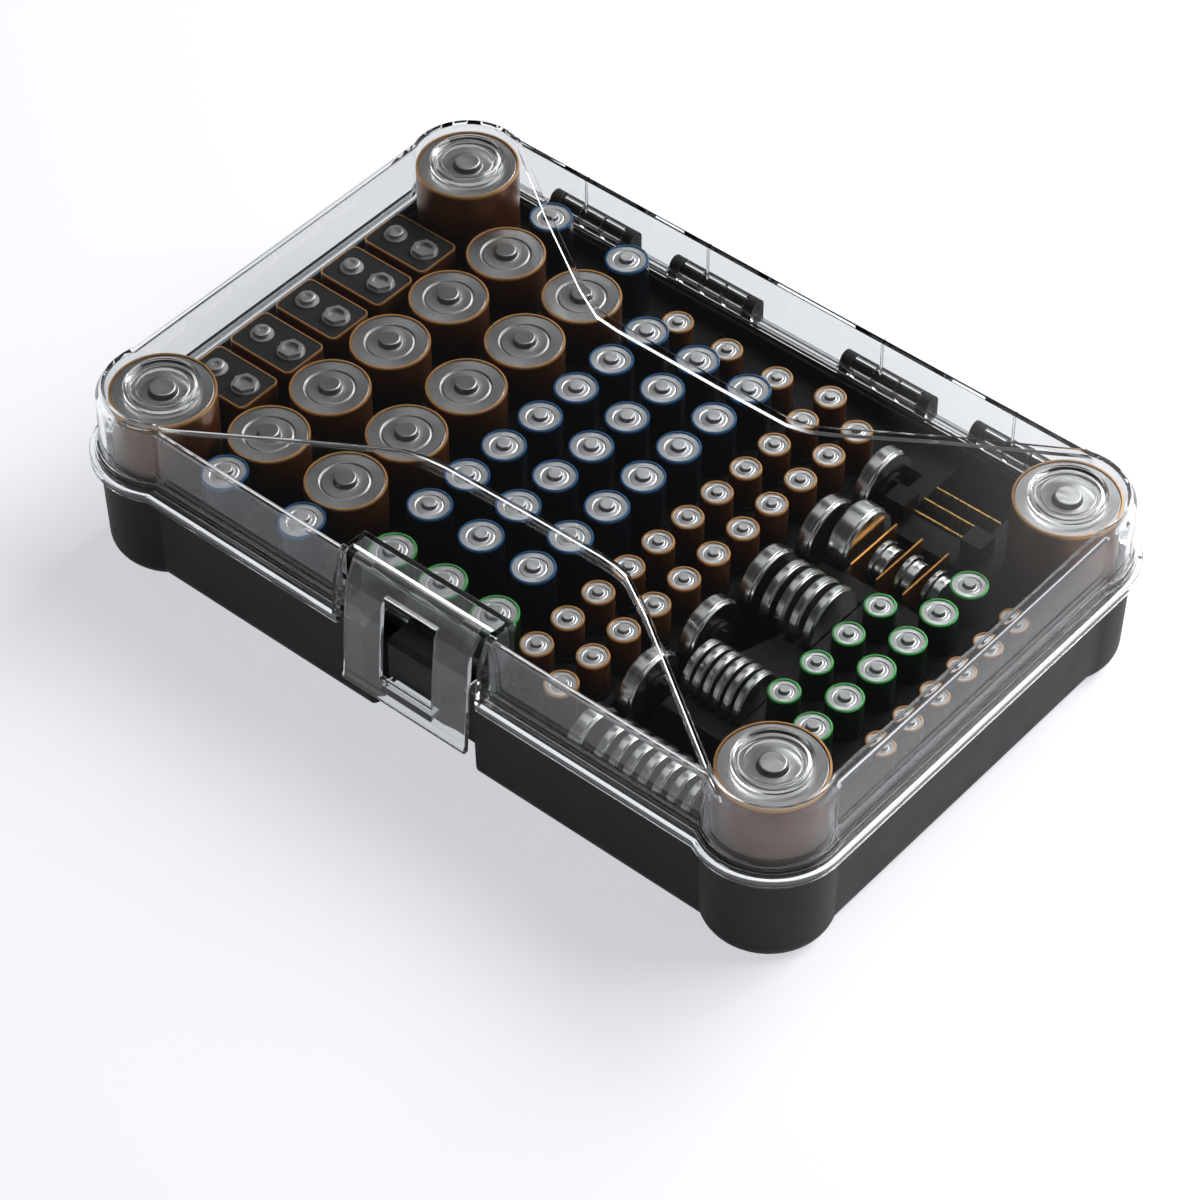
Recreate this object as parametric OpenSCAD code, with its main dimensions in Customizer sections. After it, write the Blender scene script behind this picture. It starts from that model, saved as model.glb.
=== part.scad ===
/* [Case] */
// Gap between neighbouring cells from front to back
row_gap = 1.88; // [1.4:0.01:4]
// Gap between a block battery and the medium cell beside it
block_gap = 2.5; // [1.6:0.05:5]
// Room between a large cell and the base wall at its foot
cell_room = 1.9; // [1.7:0.1:3.9]
// Height of the base up to its rim
base_h = 39.2; // [36:0.2:42]
// Draft of the base walls from foot to rim
base_draft = 1; // [0.5:0.1:1.5]
// Wall of the base
base_wall = 2; // [1.6:0.1:2.2]
// Floor of the base
base_floor = 1.6; // [1.2:0.1:2]
// Rounding of the foot
foot_r = 6; // [4:0.5:7]
// Rounding of the inner foot
foot_inner_r = 3; // [2:0.5:3.5]
// Set-back of the straight front from the corner bulge
front_back = 3.95; // [2:0.05:4.2]
// Set-back of the straight sides from the corner bulge
side_back = 1.55; // [0.5:0.05:2]
// Clearance round the tray in the base and between loose parts
fit_gap = 0.3; // [0.2:0.05:0.4]

/* [Lid] */
// Height of the highest panel above the tops of the large cells
lid_over = 4; // [3.8:0.1:6]
// Wall of the lid
lid_wall = 1.8; // [1.4:0.1:2]
// Set-back of the lid wall from the base rim
lid_foot_in = 0.5; // [0:0.1:0.7]
// Draft of the lid wall up to its bevel
lid_draft = 0.5; // [0.3:0.1:0.9]
// Bevel between lid wall and top, inwards
lid_bevel_in = 2; // [1:0.1:2.5]
// Bevel between lid wall and top, upwards
lid_bevel_up = 3.5; // [3:0.1:4]
// Drop of the front and rear panels below the middle panel
panel_drop = 1.7; // [1:0.1:1.9]
// Set-back of the lid front from the corner bulge
lid_front_back = 4; // [2:0.1:4.2]
// Set-back of the lid sides from the corner bulge
lid_side_back = 1.15; // [0.5:0.05:2]
// Set-back of the lid rear from the corner bulge
lid_rear_back = 0.65; // [0.4:0.05:1.2]
// Reach of the flange beyond the base rim
flange_over = 2.8; // [2.6:0.1:4]
// Thickness of the flange
flange_t = 1.5; // [1.2:0.1:2]
// Set-back of the flange front from the corner bulge
flange_front_back = 2.95; // [2:0.05:3]
// Depth of the skirt below the rim
skirt_drop = 2.1; // [1:0.1:3]
// Thickness of the skirt
skirt_t = 1.6; // [1.2:0.1:1.8]
// Width of each of the three steps at the lid foot
step_w = 0.5; // [0.2:0.1:0.6]
// Height of each of the three steps at the lid foot
step_h = 1.03; // [0.6:0.01:1.2]
// Radius of the ring that hangs over a large cell
ring_r = 12.25; // [11:0.25:13]
// Radius of the pocket in the ring for the cell's nub
ring_pocket_r = 8.5; // [7:0.25:9]

/* [Latch] */
// Width of the latch plate
latch_w = 49.5; // [44:0.5:50]
// Place of the latch's middle along the front
latch_x = -1.45; // [-3:0.05:3]
// Gap between the latch plate and the lid at each end
latch_gap = 3.25; // [2:0.25:4]
// Thickness of the latch plate
latch_t = 1.8; // [1.4:0.1:2]
// Depth of the latch recess behind the base front
recess_depth = 10.6; // [9:0.1:12]
// Half width of the latch recess in the base
recess_half_w = 22; // [18:0.5:23]
// Radius of the latch pivot barrel
barrel_r = 1.9; // [1.7:0.1:2]
// Radius of the latch pins
latch_pin_r = 0.9; // [0.7:0.1:1]
// Distance of the latch pivot behind the foot of the lid front
latch_pivot_in = 2.8; // [2.6:0.1:3]
// Length of the latch from its pivot to its lip
latch_drop = 45.6; // [42:0.2:48]
// Distance of the latch lip in front of its pivot
latch_out = 9.3; // [9:0.1:10]
// Width of the catch on the base
catch_w = 22; // [16:0.5:26]
// Set-back of the catch face behind the base front
catch_set_back = 0.1; // [0:0.05:0.5]
// Hold of the latch hook under the catch
hook_hold = 1; // [0.6:0.1:1.4]

/* [Hinges] */
// Length of one hinge
hinge_len = 35; // [30:1:40]
// Place of the inner hinges from the middle
hinge_inner_x = 35.5; // [30:0.5:40]
// Place of the outer hinges from the middle
hinge_outer_x = 87.2; // [82:0.2:95]
// Radius of a hinge knuckle
knuckle_r = 3; // [2.8:0.1:3.2]
// Radius of a hinge pin
hinge_pin_r = 1.2; // [1:0.05:1.4]
// Width of a hinge ear
ear_w = 3.7; // [3:0.1:4.5]
// Running clearance round a pin
pin_gap = 0.06; // [0.03:0.01:0.1]
// Height of the hinge axis above the rim
hinge_up = 2.8; // [2.6:0.1:3.4]
// Distance of the hinge axis behind the rim
hinge_out = 3.45; // [3.3:0.05:4]

/* [Tray] */
// Drop of the tray deck below the rim of the base
deck_drop = 6.8; // [5:0.2:9]
// Thickness of the deck
deck_t = 1.6; // [1.2:0.1:2]
// Wall of the pocket tubes
tube_wall = 0.6; // [0.4:0.1:0.7]
// Floor of the tray
tray_floor = 0.8; // [0.6:0.1:1.2]
// Height of the tray's rim above its deck
tray_rim_h = 5.4; // [3:0.2:6]
// Rim of the small pockets above the deck
collar_h = 1.4; // [0.6:0.2:2]

/* [Cells] */
// Radius of a large cell
d_r = 17.1; // [16.8:0.1:17.2]
// Height of a large cell without its nub
d_h = 60; // [58:0.5:60.2]
// Radius of a medium cell
c_r = 13.1; // [12.8:0.1:13.2]
// Height of a medium cell without its nub
c_h = 48.5; // [46:0.5:50]
// Radius of a finger cell
aa_r = 7.25; // [7:0.05:7.3]
// Height of a finger cell without its nub
aa_h = 49.3; // [48:0.1:50]
// Radius of a slim cell
aaa_r = 5.25; // [5:0.05:5.3]
// Height of a slim cell without its nub
aaa_h = 43.4; // [42:0.1:44]
// Radius of a short green cell
short_cell_r = 6; // [5.8:0.1:6.1]
// Height of a short green cell without its nub
short_cell_h = 29.2; // [28:0.2:30]
// Radius of a small green cell
small_r = 5.15; // [5:0.05:5.2]
// Height of a small green cell without its nub
small_h = 27.6; // [26:0.2:28]
// Radius of a small copper cell
mini_r = 4; // [3.8:0.1:4.1]
// Height of a small copper cell without its nub
mini_h = 27.2; // [26:0.2:28]
// Height of the nub of a large or medium cell
big_nub_h = 1.5; // [1:0.1:1.8]
// Height of the nub of a finger cell
finger_nub_h = 1; // [0.7:0.1:1.2]
// Height of the nub of a slim or small cell
slim_nub_h = 0.8; // [0.5:0.1:1]
// Thickness of the sleeve round a cell
sleeve_t = 0.4; // [0.3:0.05:0.5]
// Depth of the pockets for short cells below the deck
short_depth = 16; // [12:0.5:20]
// Length of a block battery along the front
block_x = 26.5; // [25:0.5:27]
// Width of a block battery
block_y = 17.5; // [16:0.5:18]
// Height of a block battery without its terminals
block_h = 46.4; // [44:0.2:47]
// Height of the block battery terminals
terminal_h = 2.1; // [1.5:0.1:3]
// Depth of the plate in the top of a block battery
block_top_t = 1.2; // [0.8:0.1:1.6]

/* [Coin cells] */
// Radius of a large coin cell
coin_r = 12.25; // [12:0.05:12.3]
// Radius of a small coin cell
small_coin_r = 10; // [9.5:0.1:10.1]
// Thickness of a thin coin cell
coin_t = 3.2; // [2.5:0.1:3.3]
// Thickness of a coin cell of the close row
slim_coin_t = 2.5; // [2:0.1:2.8]
// Thickness of a thick large coin cell
thick_coin_t = 5.5; // [5:0.1:5.8]
// Thickness of the thickest coin cell
extra_coin_t = 7.7; // [7:0.1:7.8]
// Radius of a button cell
button_r = 7.8; // [7:0.1:7.9]
// Thickness of a button cell
button_t = 5.4; // [5:0.1:5.6]
// Thickness of the copper divider plates
plate_t = 0.6; // [0.4:0.1:1]

/* [Hidden] */
$fn = 64;

// Overrun of every cut
cut = 1;
// Half spans between the corner axes, which follow the cells that have to fit between them
corner_x = (block_x / 2 + c_r + block_gap) / 0.237;
corner_y = max((2 * c_r + row_gap) / 0.3925, (2 * aa_r + row_gap) / 0.2415, (2 * aaa_r + row_gap) / 0.1985);
corner_span_x = 2 * corner_x;
corner_span_y = 2 * corner_y;
// Corner radii of the base rim, of the lid at its foot and under its bevel, and of the flange
base_r = d_r + cell_room + base_wall + base_draft;
lid_foot_r = base_r - lid_foot_in;
lid_top_r = lid_foot_r - lid_draft;
flange_r = base_r + flange_over;
// Number of steps in a quarter round
arc_steps = 8;
// Level on which the cells stand
cell_z = base_floor + tray_floor;
// Level of the tray deck
deck_z = base_h - deck_drop;
// Levels of the lid
lid_top_z = cell_z + max(d_h, max(c_h, aa_h) + panel_drop + lid_wall) + lid_over;
lid_h = lid_top_z - base_h;
bevel_z = lid_top_z - lid_bevel_up;
panel_z = lid_top_z - panel_drop;
step_z = base_h + flange_t;
// Straight faces of the base at its rim
base_front_y = -(corner_y + base_r - front_back);
base_rear_y = corner_y + base_r;
lid_front_y = -(corner_y + lid_top_r - lid_front_back);
flange_front_y = -(corner_y + flange_r - flange_front_back);
flange_rear_y = corner_y + flange_r;
// Hinge axis and latch axis
hinge_y = base_rear_y + hinge_out;
hinge_z = base_h + hinge_up;
latch_y = -(corner_y + lid_foot_r - lid_front_back) + latch_pivot_in;
latch_z = bevel_z - latch_pin_r / 4;
hinge_places = [-hinge_outer_x, -hinge_inner_x, hinge_inner_x, hinge_outer_x];
// Moves the whole case so that its bounding box is centred from front to back
rear_end = hinge_y + knuckle_r;
front_end = max(corner_y + flange_r, latch_out - latch_y);
centre_y = (front_end - rear_end) / 2;
// Latch recess and its opening in the lid
recess_y = base_front_y + recess_depth;
opening_left = latch_x - latch_w / 2 - latch_gap;
opening_right = latch_x + latch_w / 2 + latch_gap;

// Points of a quarter round that starts flat at the bottom and ends upright
function quarter(x, z, r) = [for (i = [0 : arc_steps])
    [x + r * sin(90 * i / arc_steps), z - r * cos(90 * i / arc_steps)]];

// Flat plan of the case: four corner discs and the straight stretches between them
module plan(r, back) {
    for (sx = [-1, 1], sy = [-1, 1])
        translate([sx * corner_x, sy * corner_y])
            circle(r);
    translate([-corner_x, -(corner_y + r - back[0])])
        square([corner_span_x, corner_span_y + 2 * r - back[0] - back[2]]);
    translate([-(corner_x + r - back[1]), -corner_y])
        square([corner_span_x + 2 * (r - back[1]), corner_span_y]);
}

// Solid whose corner radius follows the points p, listed as radius and height from the bottom up
module stack(p, back) {
    last = len(p) - 1;
    for (sx = [-1, 1], sy = [-1, 1])
        translate([sx * corner_x, sy * corner_y, 0])
            rotate_extrude()
                polygon(concat([[0, p[0][1]]], p, [[0, p[last][1]]]));
    translate([-corner_x, 0, 0])
        rotate([90, 0, 90])
            linear_extrude(corner_span_x)
                polygon(concat([for (q = p) [corner_y + q[0] - back[2], q[1]]],
                    [for (i = [last : -1 : 0]) [-(corner_y + p[i][0] - back[0]), p[i][1]]]));
    translate([0, corner_y, 0])
        rotate([90, 0, 0])
            linear_extrude(corner_span_y)
                polygon(concat([for (q = p) [corner_x + q[0] - back[1], q[1]]],
                    [for (i = [last : -1 : 0]) [-(corner_x + p[i][0] - back[1]), p[i][1]]]));
}

// Extrudes an outline of front-to-back and upward points along the front, from x0 to x1
module along_x(x0, x1) {
    translate([x0, 0, 0])
        rotate([90, 0, 90])
            linear_extrude(x1 - x0)
                children();
}

// Rounded rectangle about the origin
module rounded(x, y, r) {
    for (sx = [-1, 1], sy = [-1, 1])
        translate([sx * (x / 2 - r), sy * (y / 2 - r)])
            circle(r);
    square([x - 2 * r, y], center = true);
    square([x, y - 2 * r], center = true);
}

// Tub

// Outline of the latch recess, wider by g on every side, with a foot rounding
module recess(g) {
    far_y = base_front_y - foot_r;
    centre = base_wall + fit_gap;
    along_x(-recess_half_w - g, recess_half_w + g)
        polygon(concat([[far_y, -cut], [recess_y + centre, -cut]],
            [for (q = quarter(0, centre, centre - g)) [recess_y + centre - q[0], q[1]]],
            [[recess_y + g, base_h + cut], [far_y, base_h + cut]]));
}

// Bracket of one hinge on the base: a bar under the knuckles and an ear at each end
module hinge_bracket(x) {
    root_y = base_rear_y - base_wall / 2;
    back_y = hinge_y + knuckle_r;
    bar_top = base_h - 0.25 * hinge_up;
    bar_low = base_h - 2.6 * knuckle_r;
    along_x(x - hinge_len / 2, x + hinge_len / 2)
        polygon([[root_y, bar_low], [back_y, bar_low + knuckle_r], [back_y, bar_top], [root_y, bar_top]]);
    for (ear_x = [x - hinge_len / 2, x + hinge_len / 2 - ear_w])
        along_x(ear_x, ear_x + ear_w) {
            translate([hinge_y, hinge_z])
                circle(knuckle_r);
            polygon([[root_y, bar_low], [back_y, bar_low + knuckle_r], [back_y, hinge_z],
                [hinge_y - knuckle_r, hinge_z], [hinge_y - knuckle_r, base_h], [root_y, base_h]]);
        }
}

// Catch in the latch recess, with a ledge under which the latch hooks
catch_face_y = base_front_y + catch_set_back;
catch_ledge_z = latch_z - latch_drop + 3.5 * latch_t;
module catch_boss() {
    root_y = recess_y + base_wall / 2;
    chamfer = latch_t;
    along_x(catch_x - catch_w / 2, catch_x + catch_w / 2)
        polygon([[root_y, base_h], [catch_face_y + chamfer, base_h], [catch_face_y, base_h - chamfer],
            [catch_face_y, catch_ledge_z], [catch_face_y + 2.5 * chamfer, catch_ledge_z],
            [root_y, catch_ledge_z - 3 * chamfer]]);
}

module base_shell() color([0.27, 0.28, 0.285])
    translate([0, centre_y, 0]) {
        foot = base_r - base_draft;
        slope = base_draft / (base_h - foot_r);
        difference() {
            union() {
                difference() {
                    stack(concat(quarter(foot - foot_r, foot_r, foot_r), [[base_r, base_h]]),
                        [front_back, side_back, 0]);
                    recess(0);
                }
                for (x = hinge_places)
                    hinge_bracket(x);
                catch_boss();
            }
            difference() {
                stack(concat(
                    quarter(foot - base_wall - foot_inner_r, base_floor + foot_inner_r, foot_inner_r),
                    [[base_r - base_wall + slope * cut, base_h + cut]]), [front_back, side_back, 0]);
                recess(base_wall);
            }
            for (x = hinge_places)
                translate([x - hinge_len / 2 - cut, hinge_y, hinge_z])
                    rotate([0, 90, 0])
                        cylinder(r = hinge_pin_r + pin_gap / 3, h = hinge_len + 2 * cut);
        }
    }

module hinge_pins() color([0.1, 0.1, 0.1])
    translate([0, centre_y, 0])
        for (x = hinge_places)
            translate([x - hinge_len / 2, hinge_y, hinge_z])
                rotate([0, 90, 0])
                    cylinder(r = hinge_pin_r, h = hinge_len);

// Lid

// Step lines between the middle panel and the front and rear panels, as shares of the corner places
front_line_shares = [[-1.02, -1.3], [-0.868, -1.208], [-0.581, -0.882], [-0.366, -0.647], [-0.30, -0.615],
    [-0.239, -0.601], [0.035, -0.587], [0.26, -0.581], [0.31, -0.586], [0.349, -0.6], [0.474, -0.724],
    [0.687, -0.97], [0.922, -1.24], [0.974, -1.3]];
rear_line_shares = [[-1.01, 1.34], [-0.936, 1.248], [-0.677, 0.946], [-0.427, 0.679], [-0.325, 0.591],
    [-0.25, 0.58], [0.082, 0.581], [0.307, 0.588], [0.366, 0.616], [0.42, 0.67], [0.655, 0.945],
    [0.891, 1.195], [1.02, 1.34]];

// Lowered panels of the lid above height z, grown by g towards the middle
module lowered_panels(z, g) {
    high = lid_top_z + cut - z;
    translate([0, 0, z])
        linear_extrude(high)
            polygon([for (s = front_line_shares) [s[0] * corner_x, s[1] * corner_y + g]]);
    translate([0, 0, z])
        linear_extrude(high)
            polygon([for (s = rear_line_shares) [s[0] * corner_x, s[1] * corner_y - g]]);
}

// Room for the latch in front of and under the front panel
module latch_room() {
    overhang_y = latch_y + barrel_r + fit_gap;
    far_y = flange_front_y - foot_r;
    high = lid_top_z - base_h + 2 * cut;
    translate([opening_left, far_y, step_z])
        cube([opening_right - opening_left, overhang_y - far_y, high]);
    translate([opening_left, far_y, step_z])
        cube([opening_right - opening_left, recess_y - far_y, panel_z - lid_wall - step_z]);
    translate([opening_left, far_y, base_h - skirt_drop - cut])
        cube([opening_right - opening_left, base_front_y - hook_hold / 2 - far_y,
            skirt_drop + flange_t + 2 * cut]);
    translate([-recess_half_w + lid_wall, far_y, base_h - skirt_drop - cut])
        cube([2 * (recess_half_w - lid_wall), recess_y - lid_wall - far_y,
            skirt_drop + flange_t + 2 * cut]);
}

// Cheeks of the latch opening, which carry the latch pins
module cheeks(g) {
    for (x = [opening_left - lid_wall, opening_right])
        along_x(x - g, x + lid_wall + g)
            polygon([[recess_y + lid_wall, panel_z], [latch_y + barrel_r + fit_gap, panel_z],
                [latch_y - barrel_r, latch_z + barrel_r / 3],
                [lid_front_y - 1.9 * lid_wall, latch_z - 4.5 * barrel_r], [flange_front_y, base_h + flange_t],
                [flange_front_y, base_h], [recess_y + lid_wall, base_h]]);
}

// Knuckles of one hinge on the lid
module lid_knuckles(x) {
    segments = 3;
    clear = hinge_len - 2 * (ear_w + fit_gap);
    pitch = clear / segments;
    for (i = [0 : segments - 1])
        translate([x - clear / 2 + i * pitch + fit_gap, hinge_y, hinge_z])
            rotate([0, 90, 0])
                cylinder(r = knuckle_r, h = pitch - 2 * fit_gap);
}

module lid_cavity() {
    steps_r = lid_foot_r - lid_wall;
    difference() {
        stack([[steps_r, base_h - skirt_drop - cut], [steps_r, base_h + flange_t],
            [lid_top_r - lid_wall, bevel_z - 0.4 * lid_wall],
            [lid_top_r - lid_bevel_in - 0.6 * lid_wall, lid_top_z - lid_wall]], lid_back);
        lowered_panels(panel_z - lid_wall, lid_wall);
        translate([opening_left - lid_wall, flange_front_y - foot_r, base_h - skirt_drop - 2 * cut])
            cube([opening_right - opening_left + 2 * lid_wall, recess_y + lid_wall - flange_front_y + foot_r,
                lid_h + 4 * cut]);
        for (sx = [-1, 1], sy = [-1, 1])
            translate([sx * corner_x, sy * corner_y, cell_z + d_h + fit_gap])
                cylinder(r = ring_r, h = lid_h);
    }
}

lid_back = [lid_front_back, lid_side_back, lid_rear_back];

// Outer shape of the lid above the flange, with three steps at its foot
module lid_block() {
    r1 = lid_foot_r + step_w;
    r2 = r1 + step_w;
    r3 = r2 + step_w;
    z1 = step_z + step_h;
    z2 = z1 + step_h;
    z3 = z2 + step_h;
    difference() {
        stack([[r3, base_h], [r3, z1], [r2, z1], [r2, z2], [r1, z2], [r1, z3], [lid_foot_r, z3],
            [lid_top_r, bevel_z], [lid_top_r - lid_bevel_in, lid_top_z]], lid_back);
        lowered_panels(panel_z, 0);
    }
    for (x = hinge_places)
        translate([x - fit_gap, corner_y + lid_top_r - lid_rear_back - lid_wall, z3])
            cube([2 * fit_gap, lid_wall + 2 * step_w, bevel_z - z3]);
}

// Flange round the foot of the lid, with a skirt that hangs over the rim of the base
module lid_flange() {
    round_r = flange_t / 2;
    low = base_h - skirt_drop;
    stack([[flange_r - fit_gap, low], [flange_r, low + fit_gap], [flange_r, step_z - round_r],
        [flange_r - 0.3 * round_r, step_z - 0.3 * round_r], [flange_r - round_r, step_z]],
        [flange_front_back, 0, 0]);
}

module skirt_room() {
    difference() {
        stack([[flange_r - skirt_t, base_h - skirt_drop - cut], [flange_r - skirt_t, base_h]],
            [flange_front_back, 0, 0]);
        cheeks(cut);
    }
    translate([-corner_x - flange_r - cut, corner_y + 0.65 * base_r, base_h - skirt_drop - cut])
        cube([corner_span_x + 2 * (flange_r + cut), flange_r, skirt_drop + cut]);
}

// Room in the lid for one hinge of the base: its two ears and its pin
module hinge_room(x) {
    for (ear_x = [x - hinge_len / 2, x + hinge_len / 2 - ear_w])
        translate([ear_x - fit_gap, hinge_y - knuckle_r - 2 * fit_gap, base_h - cut])
            cube([ear_w + 2 * fit_gap, flange_r, flange_t + 2 * cut]);
    translate([x - hinge_len / 2, hinge_y, hinge_z])
        rotate([0, 90, 0])
            cylinder(r = hinge_pin_r + pin_gap, h = hinge_len);
}

// Dish on top of and pocket under the ring that hangs over a large cell
module ring_rooms() {
    dish = 0.6 * lid_wall;
    pocket_z = cell_z + d_h + fit_gap - cut;
    for (q = d_places)
        translate(q) {
            translate([0, 0, lid_top_z - dish])
                cylinder(r1 = 0.82 * ring_r, r2 = 0.935 * ring_r, h = dish);
            translate([0, 0, pocket_z])
                cylinder(r = ring_pocket_r, h = lid_top_z - 1.3 * lid_wall - pocket_z);
        }
}

module lid() color([0.55, 0.57, 0.58, 0.4])
    translate([0, centre_y, 0])
        difference() {
            union() {
                difference() {
                    union() {
                        lid_block();
                        lid_flange();
                    }
                    latch_room();
                }
                cheeks(0);
                for (x = hinge_places)
                    lid_knuckles(x);
            }
            lid_cavity();
            skirt_room();
            for (x = hinge_places)
                hinge_room(x);
            ring_rooms();
            for (x = [opening_left - lid_wall - cut, opening_right - cut])
                translate([x, latch_y, latch_z])
                    rotate([0, 90, 0])
                        cylinder(r = latch_pin_r + pin_gap / 3, h = lid_wall + 2 * cut);
        }

// Latch

latch_left = latch_x - latch_w / 2;
latch_pin_len = lid_wall + 3 * latch_gap;
// Middle of the catch and of the latch hook along the front
catch_x = latch_x + latch_t / 4;

module latch_pins() color([0.12, 0.12, 0.12])
    translate([0, centre_y, 0])
        for (x = [opening_left - lid_wall, opening_right + lid_wall - latch_pin_len])
            translate([x, latch_y, latch_z])
                rotate([0, 90, 0])
                    cylinder(r = latch_pin_r, h = latch_pin_len);

// Outer line of the latch plate from its pivot down, as shares of its reach and its length
latch_line_shares = [[0.2, -0.015], [0.62, 0.16], [0.8, 0.53], [0.925, 0.925], [1, 0.955], [1, 0.985],
    [0.94, 1]];

module latch() color([0.55, 0.57, 0.58, 0.4])
    translate([0, centre_y, 0]) {
        window_top = latch_z - 0.105 * latch_drop;
        window_low = latch_z - 0.8 * latch_drop;
        hook_top = catch_ledge_z - fit_gap;
        lip_y = latch_y - latch_out;
        difference() {
            union() {
                along_x(latch_left, latch_left + latch_w) {
                    polygon(concat([[latch_y, latch_z + barrel_r]],
                        [for (s = latch_line_shares)
                            [latch_y - s[0] * latch_out, latch_z - s[1] * latch_drop]],
                        [[lip_y + 1.2 * latch_t, latch_z - latch_drop]],
                        [for (i = [3, 2, 1]) [latch_y - latch_line_shares[i][0] * latch_out + latch_t,
                            latch_z - latch_line_shares[i][1] * latch_drop]],
                        [[latch_y, latch_z - barrel_r]]));
                    translate([latch_y, latch_z])
                        circle(barrel_r);
                }
                along_x(catch_x - catch_w / 2 + latch_t / 2, catch_x + catch_w / 2 - latch_t / 2)
                    polygon([[catch_face_y + hook_hold, hook_top], [lip_y + 1.2 * latch_t, hook_top],
                        [lip_y + 1.2 * latch_t, hook_top - 1.5 * latch_t],
                        [catch_face_y + hook_hold, hook_top - latch_t / 2]]);
            }
            along_x(catch_x - catch_w / 2 + latch_t / 4, catch_x + catch_w / 2 - latch_t / 4)
                polygon([[lip_y - cut, window_low], [catch_face_y - fit_gap, window_low],
                    [latch_y - barrel_r / 2, window_top], [lip_y - cut, window_top]]);
            for (x = [latch_left - cut, latch_left + latch_w - 2 * latch_gap - fit_gap])
                translate([x, latch_y, latch_z])
                    rotate([0, 90, 0])
                        cylinder(r = latch_pin_r + pin_gap, h = 2 * latch_gap + fit_gap + cut);
        }
    }

// Places of the cells, as shares of the corner places

c_xs = [for (s = [-0.753, -0.486]) s * corner_x];
c_pitch = 0.3925 * corner_y;
c_places = [for (x = c_xs, i = [-2 : 2]) [x, i * c_pitch]];
block_pitch = 0.2965 * corner_y;
block_places = [for (i = [-2 : 2]) [-0.99 * corner_x, (i - 0.05) * block_pitch]];
aa_pitch = 0.2415 * corner_y;
aa_places = concat([for (s = [-0.261, -0.0885, 0.084], i = [0 : 6])
        [s * corner_x, 0.781 * corner_y - i * aa_pitch]],
    [for (x = c_xs) [x, 1.1 * corner_y]],
    [for (x = c_xs) [x + 0.015 * corner_x, -1.083 * corner_y]]);
aa_green_places = [for (s = [-0.223, -0.054, 0.117]) [s * corner_x, -0.969 * corner_y]];
aaa_pitch = 0.1985 * corner_y;
aaa_places = concat([for (i = [0 : 10]) [0.2325 * corner_x, 1.047 * corner_y - i * aaa_pitch]],
    [for (i = [0 : 10]) [0.3647 * corner_x, 0.9475 * corner_y - i * aaa_pitch]],
    [for (s = [-0.256, -0.0885, 0.08]) [s * corner_x, 0.993 * corner_y]]);
short_places = [for (i = [0 : 5]) [0.92 * corner_x, 0.512 * corner_y - i * 0.214 * corner_y]];
small_places = [for (i = [0 : 3]) [0.787 * corner_x, 0.189 * corner_y - i * 0.2165 * corner_y]];
mini_places = [for (i = [0 : 5]) [1.06 * corner_x, 0.495 * corner_y - i * 0.184 * corner_y]];
d_places = [for (sx = [-1, 1], sy = [-1, 1]) [sx * corner_x, sy * corner_y]];

// Coin rack: places of the slots, each [low face along the front, middle from front to back]
coin_z = deck_z + 0.115 * coin_r;
small_coin_z = deck_z + 0.2 * small_coin_r;
well_coin_z = deck_z - 0.1 * small_coin_r;
rack_x = 0.43 * corner_x;
column_x = 0.452 * corner_x;
column_places = [for (i = [0 : 4]) [column_x, 0.9 * corner_y - i * 0.399 * corner_y]];
small_row = [for (i = [0 : 5]) [0.5365 * corner_x + i * 1.235 * coin_t, -0.482 * corner_y]];
large_row = [for (i = [0 : 3]) [0.53 * corner_x + i * 1.74 * coin_t, 0.084 * corner_y]];
extra_place = [0.524 * corner_x, 0.558 * corner_y];
// Discs of the left column that stand against a clip of the tray
clip_places = [column_places[0], column_places[3], column_places[4]];
well_y = -1.04 * corner_y;
well_thick_place = [0.4435 * corner_x, well_y];
well_row = [for (i = [0 : 6]) [0.529 * corner_x + i * 1.72 * coin_t, well_y]];
plate_xs = [for (i = [0 : 2]) 0.611 * corner_x + i * 0.0825 * corner_x];
plate_len = 1.9 * coin_r;
plate_y = 0.545 * corner_y;
plate_top = deck_z + 0.35 * coin_r;
button_xs = [for (x = plate_xs) x + 0.021 * corner_x];
button_z = deck_z - 0.2 * button_r;
strip_ys = [for (s = [0.87, 0.957, 1.046]) s * corner_y];
strip_len = 2.03 * coin_r;
strip_x = 0.69 * corner_x;

// Depth of the coin rack below the deck
rack_depth = 1.02 * coin_r;
// Length along the front of the slots of the left column
column_slot = 1.65 * thick_coin_t;
// Edges of the coin rack and of the front well
rack_right = 0.855 * corner_x;
rack_rear = 0.83 * corner_y;
well_edge = -0.725 * corner_y;
trench_floor = deck_z - 1.3 * button_r;

// Circles at places p
module rings(p, r) {
    for (q = p)
        translate(q)
            circle(r);
}

// Pockets of the medium, finger and block cells with their outlines grown by g
module long_pockets(g) {
    rings(c_places, c_r + g);
    rings(aa_places, aa_r + g);
    rings(aa_green_places, aa_r + g);
    for (q = block_places)
        translate(q)
            rounded(block_x + 2 * g, block_y + 2 * g, block_y / 8 + g);
}

// All pockets that go down to the tray floor
module deep_pockets(g) {
    rings(d_places, d_r + g);
    long_pockets(g);
    rings(aaa_places, aaa_r + g);
}

module short_pockets(g) {
    rings(short_places, short_cell_r + g);
    rings(small_places, small_r + g);
    rings(mini_places, mini_r + g);
}

// Slot for a coin cell of radius r and thickness t, standing at place q with its axis at height z
module coin_slot(q, z, r, t, g) {
    translate([q[0] - g, q[1], z])
        rotate([0, 90, 0])
            cylinder(r = r + g, h = t + 2 * g);
}

tray_r = base_r - base_draft - base_wall - fit_gap;
tray_back = [front_back, side_back, 0];

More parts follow.
